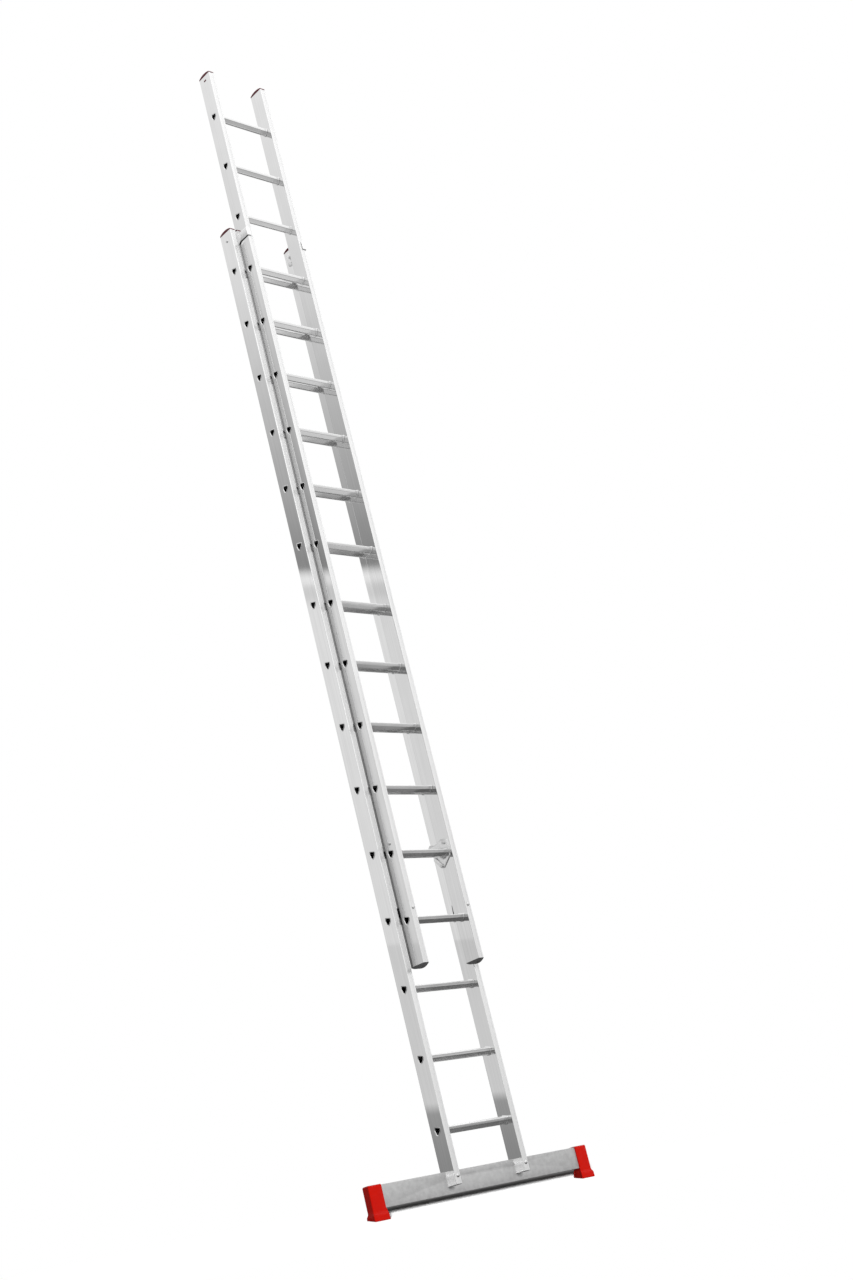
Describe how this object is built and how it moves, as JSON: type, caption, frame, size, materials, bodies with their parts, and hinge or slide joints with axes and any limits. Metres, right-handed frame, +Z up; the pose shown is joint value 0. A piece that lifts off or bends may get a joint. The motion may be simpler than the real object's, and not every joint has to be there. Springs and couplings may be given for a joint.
{
  "type": "extension ladder",
  "caption": "Push-up extension ladder: a fly section slides up a base section on a stabiliser bar with moulded feet, and hooks with safety catches hold it on a rung.",
  "frame": {"origin": "on the floor, midway between the two soles and below the middle of the stabiliser bar", "axes": "+Z up, +X to the climber's right, +Y towards the wall that the ladder leans on"},
  "size_m": [1.21, 1.3515, 5.1129],
  "materials": {
    "stile_aluminium": "brushed extrusion, bright",
    "rung_aluminium": "extruded, satin, fluted tread",
    "bar_aluminium": "brushed across its height",
    "bracket_aluminium": "bent plate, satin",
    "cap_maroon": "moulded, fine grain",
    "cap_grey": "moulded, fine grain",
    "foot_red": "moulded, soft sheen",
    "pad_black": "nylon",
    "hook_steel": "zinc plated plate",
    "fastener_steel": "zinc plated"
  },
  "bodies": {
    "base": {"base_left_stile": "stile_aluminium", "base_right_stile": "stile_aluminium", "base_rung_01": "rung_aluminium", "base_rung_02": "rung_aluminium", "base_rung_03": "rung_aluminium", "base_rung_04": "rung_aluminium", "base_rung_05": "rung_aluminium", "base_rung_06": "rung_aluminium", "base_rung_07": "rung_aluminium", "base_rung_08": "rung_aluminium", "base_rung_09": "rung_aluminium", "base_rung_10": "rung_aluminium", "base_rung_11": "rung_aluminium", "base_rung_12": "rung_aluminium", "base_rung_13": "rung_aluminium", "base_rung_14": "rung_aluminium", "base_rung_15": "rung_aluminium", "base_left_top_cap": "cap_maroon", "base_right_top_cap": "cap_maroon", "base_left_bottom_cap": "cap_grey", "base_right_bottom_cap": "cap_grey", "left_guide_bracket": "bracket_aluminium", "right_guide_bracket": "bracket_aluminium", "guide_bracket_bolts": "fastener_steel", "guide_bracket_nuts": "fastener_steel", "stabiliser_bar": "bar_aluminium", "left_foot": "foot_red", "right_foot": "foot_red", "stabiliser_bolts": "fastener_steel", "stabiliser_nuts": "fastener_steel"},
    "fly": {"fly_left_stile": "stile_aluminium", "fly_right_stile": "stile_aluminium", "fly_rung_01": "rung_aluminium", "fly_rung_02": "rung_aluminium", "fly_rung_03": "rung_aluminium", "fly_rung_04": "rung_aluminium", "fly_rung_05": "rung_aluminium", "fly_rung_06": "rung_aluminium", "fly_rung_07": "rung_aluminium", "fly_rung_08": "rung_aluminium", "fly_rung_09": "rung_aluminium", "fly_rung_10": "rung_aluminium", "fly_rung_11": "rung_aluminium", "fly_rung_12": "rung_aluminium", "fly_rung_13": "rung_aluminium", "fly_rung_14": "rung_aluminium", "fly_rung_15": "rung_aluminium", "fly_left_top_cap": "cap_maroon", "fly_right_top_cap": "cap_maroon", "fly_left_bottom_cap": "cap_grey", "fly_right_bottom_cap": "cap_grey", "left_hook": "hook_steel", "right_hook": "hook_steel", "hook_bolts": "fastener_steel", "left_guide_pad": "pad_black", "right_guide_pad": "pad_black", "guide_pad_bolts": "fastener_steel", "catch_pins": "fastener_steel"},
    "left_catch": {"left_hook_catch": "hook_steel"},
    "right_catch": {"right_hook_catch": "hook_steel"}
  },
  "joints": [
    {"name": "fly_slide", "type": "slide", "parent": "base", "child": "fly", "axis": [0, 0.2588, 0.9659], "range_m": [-0.84, 2.52]},
    {"name": "left_catch_pivot", "type": "hinge", "parent": "fly", "child": "left_catch", "pos_m": [-0.1336, 0.2814, 1.3002], "axis": [-1, 0, 0], "range_deg": [0, 60], "stiffness_Nm_per_rad": 0.06, "springref_deg": -28.65},
    {"name": "right_catch_pivot", "type": "hinge", "parent": "fly", "child": "right_catch", "pos_m": [0.1336, 0.2814, 1.3002], "axis": [-1, 0, 0], "range_deg": [0, 60], "stiffness_Nm_per_rad": 0.06, "springref_deg": -28.65}
  ]
}
